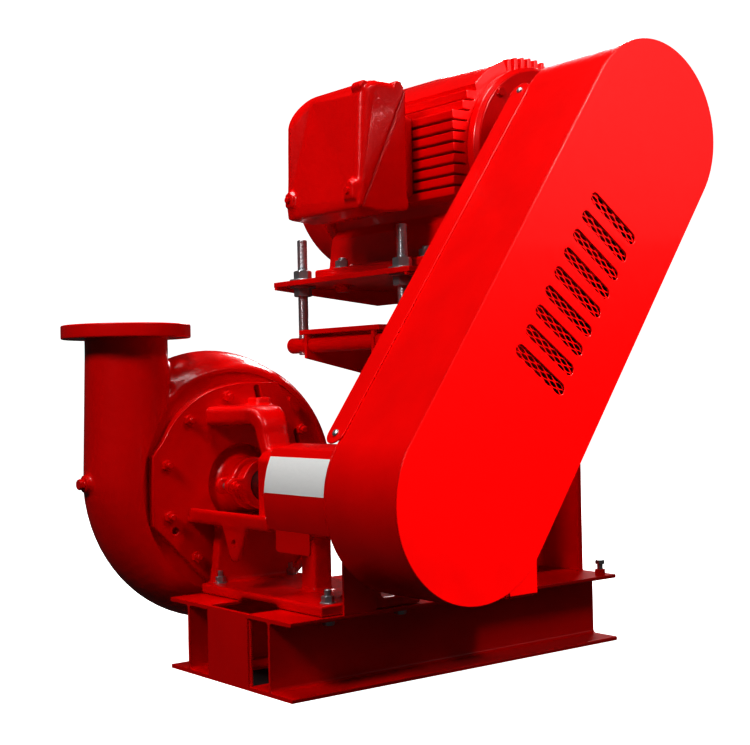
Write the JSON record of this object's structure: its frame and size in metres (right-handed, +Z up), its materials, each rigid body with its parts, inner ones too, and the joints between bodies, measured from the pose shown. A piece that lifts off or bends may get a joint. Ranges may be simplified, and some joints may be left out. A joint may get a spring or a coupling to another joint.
{
  "type": "belt-driven centrifugal pump with overhead motor on a skid",
  "caption": "Horizontal volute pump on a two-beam skid, belt driven under a leaning guard by an electric motor on a rod-hung plate above a column; pump and motor rotors turn together.",
  "frame": {"origin": "under the middle of the whole machine's box, on the floor under the skid", "axes": "+X along the skid's beams towards the motor's column, +Y along both shafts from the belt guard to the pump's suction flange, +Z up"},
  "size_m": [1.217, 1.089, 1.335],
  "materials": {
    "red_enamel": "glossy red enamel over castings and welded steel",
    "zinc_steel": "zinc-plated threaded rod, nuts, washers and screws",
    "machined_steel": "turned bare steel",
    "cast_iron": "bare cast iron",
    "belt_rubber": "matt black rubber",
    "white_label": "plain white stick-on label, blank"
  },
  "bodies": {
    "machine": {"skid_beam_near": "red_enamel", "skid_beam_far": "red_enamel", "skid_end_plate_left": "red_enamel", "skid_end_plate_right": "red_enamel", "bearing_frame": "red_enamel", "stuffing_box": "red_enamel", "gland": "red_enamel", "gland_stud_left": "zinc_steel", "gland_stud_right": "zinc_steel", "pump_casing": "red_enamel", "discharge_neck": "red_enamel", "suction_nozzle": "red_enamel", "drain_plug": "red_enamel", "drive_belt": "belt_rubber", "guard_face": "red_enamel", "guard_wall": "red_enamel", "vent_mesh": "red_enamel", "guard_back_plate": "red_enamel", "guard_side_strip": "red_enamel", "shaft_shield_left": "red_enamel", "shaft_shield_right": "red_enamel", "shield_tab": "red_enamel", "guard_support_left": "red_enamel", "guard_support_right": "red_enamel", "stand_column": "red_enamel", "stand_top_plate": "red_enamel", "stand_rib_near_left": "red_enamel", "stand_rib_near_right": "red_enamel", "stand_rib_far": "red_enamel", "stand_cross_rib_left": "red_enamel", "stand_cross_rib_right": "red_enamel", "anchor_bar_left": "red_enamel", "anchor_bar_right": "red_enamel", "threaded_rod_1": "zinc_steel", "threaded_rod_2": "zinc_steel", "threaded_rod_3": "zinc_steel", "threaded_rod_4": "zinc_steel", "motor_plate": "red_enamel", "motor_plate_rib_near": "red_enamel", "motor_plate_rib_far": "red_enamel", "motor_frame": "red_enamel", "motor_shield_drive_end": "red_enamel", "motor_shield_fan_end": "red_enamel", "motor_fan_cowl": "red_enamel", "terminal_box_base": "red_enamel", "terminal_box_cover": "red_enamel"},
    "pump_rotor": {"pump_shaft": "machined_steel", "impeller": "cast_iron", "pump_sheave": "cast_iron"},
    "motor_rotor": {"motor_shaft": "machined_steel", "motor_sheave": "cast_iron"}
  },
  "joints": [
    {"name": "pump_spin", "type": "hinge", "parent": "machine", "child": "pump_rotor", "pos_m": [-0.2275, 0, 0.387], "axis": [0, 1, 0], "continuous": true},
    {"name": "motor_spin", "type": "hinge", "parent": "machine", "child": "motor_rotor", "pos_m": [0.2885, 0, 1.112], "axis": [0, 1, 0], "continuous": true}
  ],
  "couplings": [
    {"joint": "motor_spin", "follows": "pump_spin", "ratio": 1}
  ]
}
